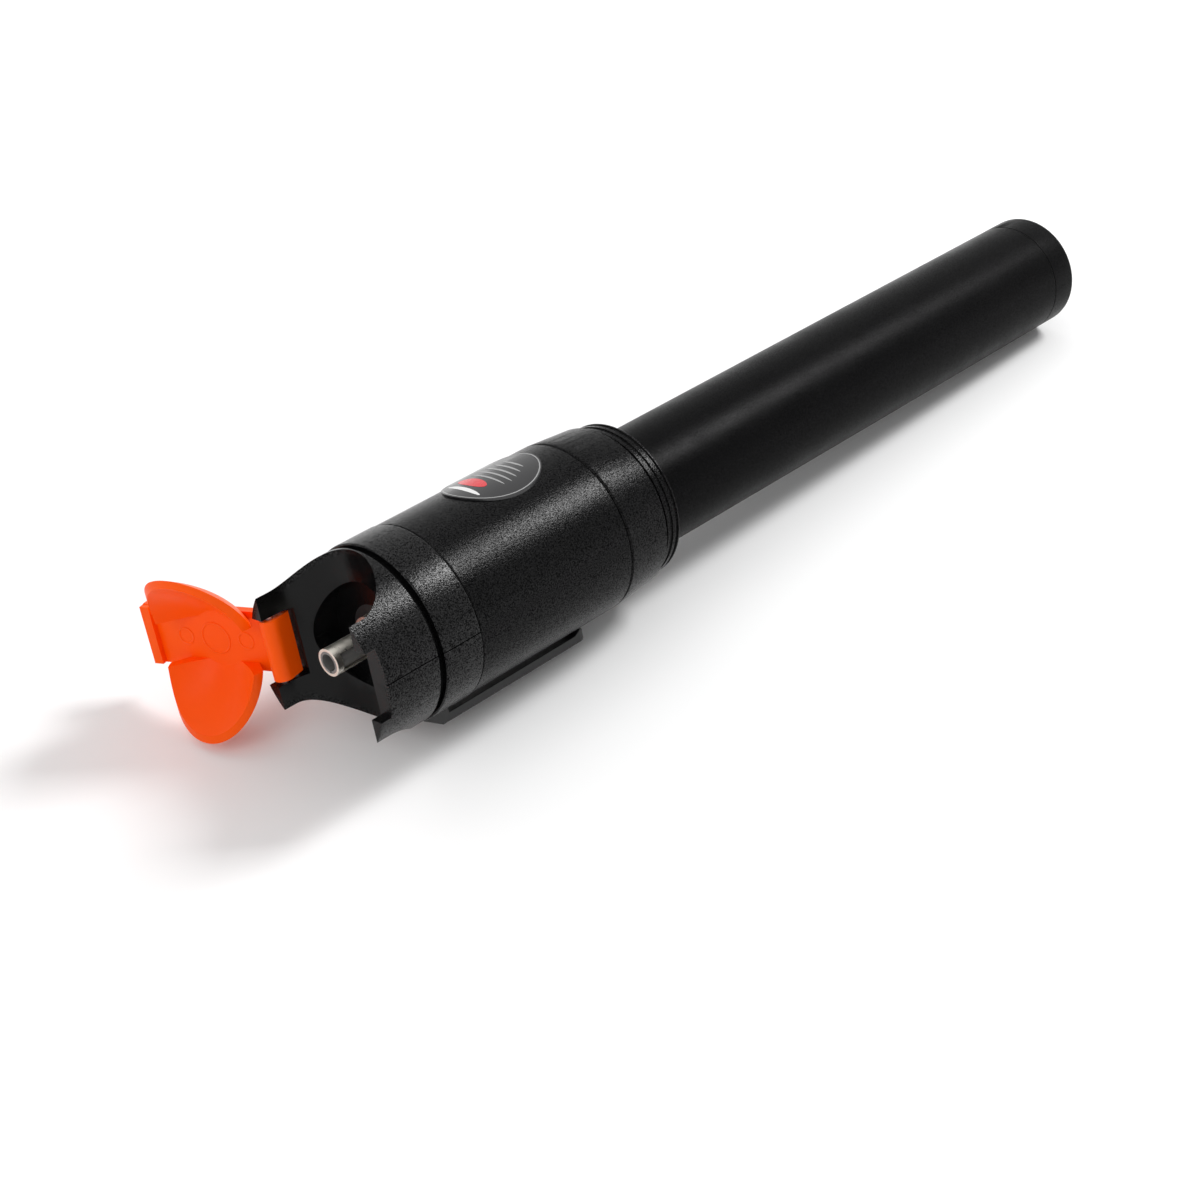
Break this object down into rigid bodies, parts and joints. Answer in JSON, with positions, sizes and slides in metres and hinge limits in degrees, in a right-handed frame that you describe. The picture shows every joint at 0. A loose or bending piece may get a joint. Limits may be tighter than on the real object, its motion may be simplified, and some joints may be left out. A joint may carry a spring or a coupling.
{
  "type": "visual fault locator",
  "caption": "Pen-shaped fibre tester: a laser head with a ferrule port between two jaws, a hinged dust cap, a pocket clip and a slim battery tube.",
  "frame": {"origin": "centre of the ferrule port's mouth, on the pen's axis", "axes": "+X along the pen out of the nose, +Z towards the label, away from the pocket clip"},
  "size_m": [0.1677, 0.0465, 0.0284],
  "materials": {
    "black_anodised": "black satin anodised with a fine sparkling grain",
    "black_tube": "black satin anodised, smooth",
    "black_plastic": "black moulded plastic, fine grain",
    "switch_case": "dark plastic",
    "orange_plastic": "semi-gloss orange plastic",
    "steel": "bright steel",
    "nickel": "nickel plated",
    "ceramic": "white ceramic",
    "brass": "turned brass",
    "lens_glass": "clear glass",
    "board": "green circuit board",
    "cell": "plain metal jacket",
    "seal_rubber": "black rubber",
    "label_gloss": "glossy black oval with plain colour fields"
  },
  "bodies": {
    "pen": {"head_sleeve": "black_anodised", "rear_collar": "black_anodised", "battery_tube": "black_tube", "nose_upper_half": "black_plastic", "nose_lower_half": "black_plastic", "pocket_clip": "black_plastic", "switch_body": "switch_case", "hinge_pin": "steel", "connector_shell": "nickel", "split_sleeve": "ceramic", "laser_housing": "brass", "lens": "lens_glass", "laser_diode": "steel", "driver_board": "board", "front_cell": "cell", "rear_cell": "cell", "contact_plate": "brass", "insulator": "switch_case", "label_plate": "label_gloss"},
    "cap": {"dust_cap": "orange_plastic"},
    "tail": {"tail_cap": "black_tube", "tail_seal": "seal_rubber", "tail_spring": "steel"},
    "switch": {"switch_knob": "black_plastic"}
  },
  "joints": [
    {"name": "cap_hinge", "type": "hinge", "parent": "pen", "child": "cap", "pos_m": [0.0004, -0.0107, 0], "axis": [0, 0, 1], "range_deg": [-8, 163.6]},
    {"name": "tail_cap_off", "type": "slide", "parent": "pen", "child": "tail", "axis": [-1, 0, 0], "range_m": [0, 0.02]},
    {"name": "switch_slide", "type": "slide", "parent": "pen", "child": "switch", "axis": [1, 0, 0], "range_m": [-0.002, 0.002]}
  ]
}
